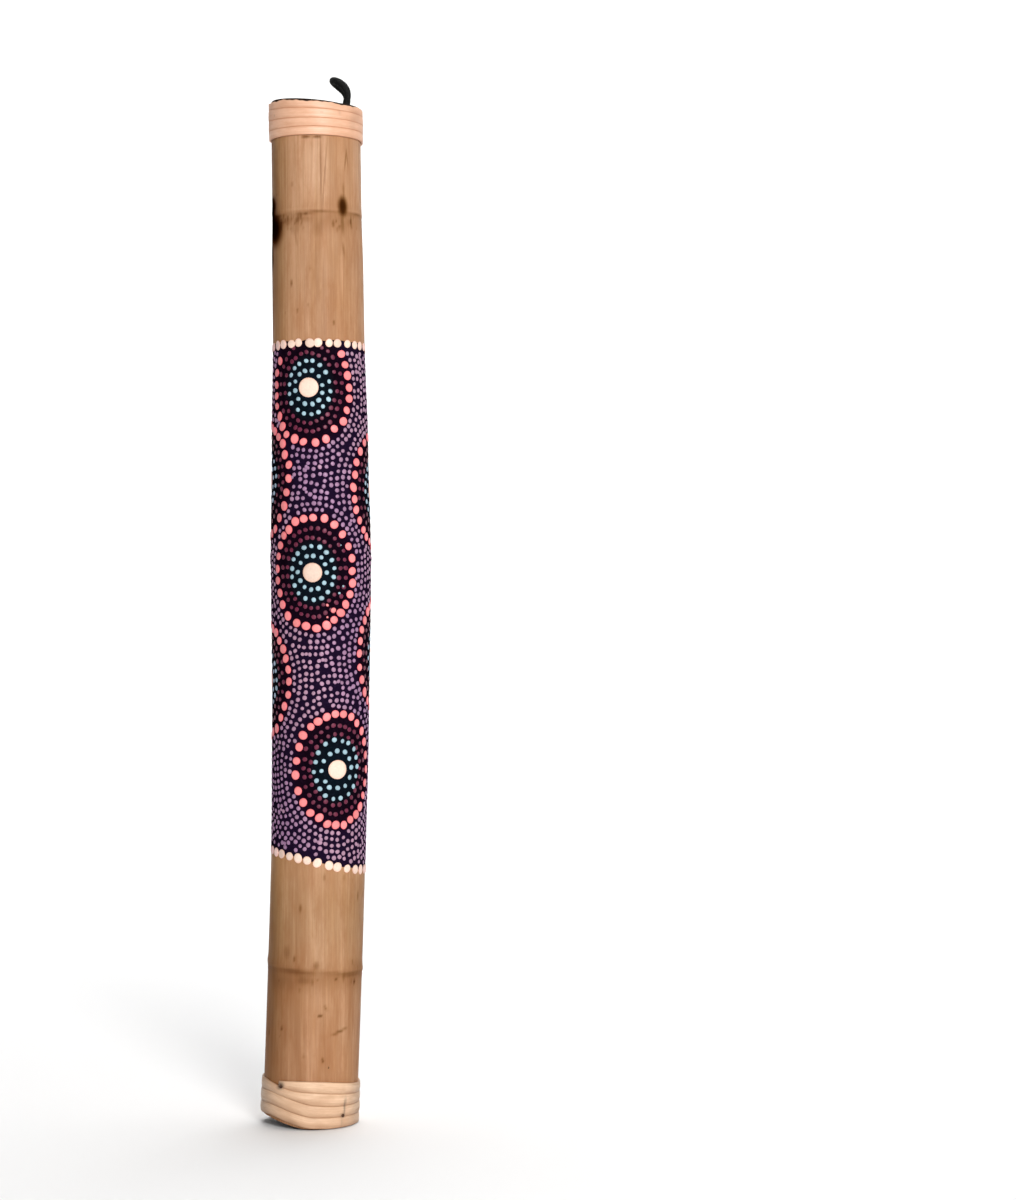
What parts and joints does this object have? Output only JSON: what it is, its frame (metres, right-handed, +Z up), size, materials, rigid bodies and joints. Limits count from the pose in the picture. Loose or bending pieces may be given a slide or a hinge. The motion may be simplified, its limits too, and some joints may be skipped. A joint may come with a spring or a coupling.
{
  "type": "rainstick",
  "caption": "Tall painted bamboo tube with cane-bound ends, pegs across its bore, loose grains that fall past them, plugged ends and a cord hanging loop.",
  "frame": {"origin": "centre of the flat foot, on the face the stick stands on", "axes": "+Z up the stick to its hanging loop, the painted front faces -Y, +X to the viewer's right, the way the tube bows"},
  "size_m": [0.0656, 0.0596, 0.619],
  "materials": {
    "bamboo": "dry, smooth cane skin with long streaks and small dark marks, satin",
    "cane": "split cane strip, pale peach, satin",
    "plug": "dark painted wood, worn matt",
    "cord": "braided black cord",
    "peg": "split hardwood peg, dry",
    "grain": "small smooth pebble, matt",
    "nail": "dark, slightly rusted steel nail",
    "paint": "acrylic paint, dark ground with raised dots, soft gloss"
  },
  "bodies": {
    "stick": {"bamboo_tube": "bamboo", "upper_cane_wrap": "cane", "lower_cane_wrap": "cane", "upper_nail_1": "nail", "upper_nail_2": "nail", "lower_nail_1": "nail", "lower_nail_2": "nail", "bottom_plug": "plug", "top_plug": "plug", "hanging_loop": "cord", "loop_knot_1": "cord", "loop_knot_2": "cord", "peg_01": "peg", "peg_02": "peg", "peg_03": "peg", "peg_04": "peg", "peg_05": "peg", "peg_06": "peg", "peg_07": "peg", "peg_08": "peg", "peg_09": "peg", "peg_10": "peg", "peg_11": "peg", "peg_12": "peg", "peg_13": "peg", "peg_14": "peg", "peg_15": "peg", "peg_16": "peg", "peg_17": "peg", "peg_18": "peg", "peg_19": "peg", "peg_20": "peg", "peg_21": "peg", "peg_22": "peg", "peg_23": "peg", "peg_24": "peg", "peg_25": "peg", "peg_26": "peg", "peg_27": "peg", "peg_28": "peg", "peg_29": "peg", "peg_30": "peg", "peg_31": "peg", "peg_32": "peg", "peg_33": "peg", "peg_34": "peg", "peg_35": "peg"},
    "grain_01": {"grain_01": "grain"},
    "grain_02": {"grain_02": "grain"},
    "grain_03": {"grain_03": "grain"},
    "grain_04": {"grain_04": "grain"},
    "grain_05": {"grain_05": "grain"},
    "grain_06": {"grain_06": "grain"},
    "grain_07": {"grain_07": "grain"},
    "grain_08": {"grain_08": "grain"},
    "grain_09": {"grain_09": "grain"},
    "grain_10": {"grain_10": "grain"},
    "grain_11": {"grain_11": "grain"},
    "grain_12": {"grain_12": "grain"}
  },
  "joints": [
    {"name": "grain_01_fall", "type": "slide", "parent": "stick", "child": "grain_01", "axis": [0, 0, 1], "range_m": [0, 0.579]},
    {"name": "grain_02_fall", "type": "slide", "parent": "stick", "child": "grain_02", "axis": [0, 0, 1], "range_m": [0, 0.579]},
    {"name": "grain_03_fall", "type": "slide", "parent": "stick", "child": "grain_03", "axis": [0, 0, 1], "range_m": [0, 0.579]},
    {"name": "grain_04_fall", "type": "slide", "parent": "stick", "child": "grain_04", "axis": [0, 0, 1], "range_m": [0, 0.579]},
    {"name": "grain_05_fall", "type": "slide", "parent": "stick", "child": "grain_05", "axis": [0, 0, 1], "range_m": [0, 0.579]},
    {"name": "grain_06_fall", "type": "slide", "parent": "stick", "child": "grain_06", "axis": [0, 0, 1], "range_m": [0, 0.579]},
    {"name": "grain_07_fall", "type": "slide", "parent": "stick", "child": "grain_07", "axis": [0, 0, 1], "range_m": [0, 0.579]},
    {"name": "grain_08_fall", "type": "slide", "parent": "stick", "child": "grain_08", "axis": [0, 0, 1], "range_m": [0, 0.579]},
    {"name": "grain_09_fall", "type": "slide", "parent": "stick", "child": "grain_09", "axis": [0, 0, 1], "range_m": [0, 0.573]},
    {"name": "grain_10_fall", "type": "slide", "parent": "stick", "child": "grain_10", "axis": [0, 0, 1], "range_m": [0, 0.579]},
    {"name": "grain_11_fall", "type": "slide", "parent": "stick", "child": "grain_11", "axis": [0, 0, 1], "range_m": [0, 0.573]},
    {"name": "grain_12_fall", "type": "slide", "parent": "stick", "child": "grain_12", "axis": [0, 0, 1], "range_m": [0, 0.579]}
  ]
}
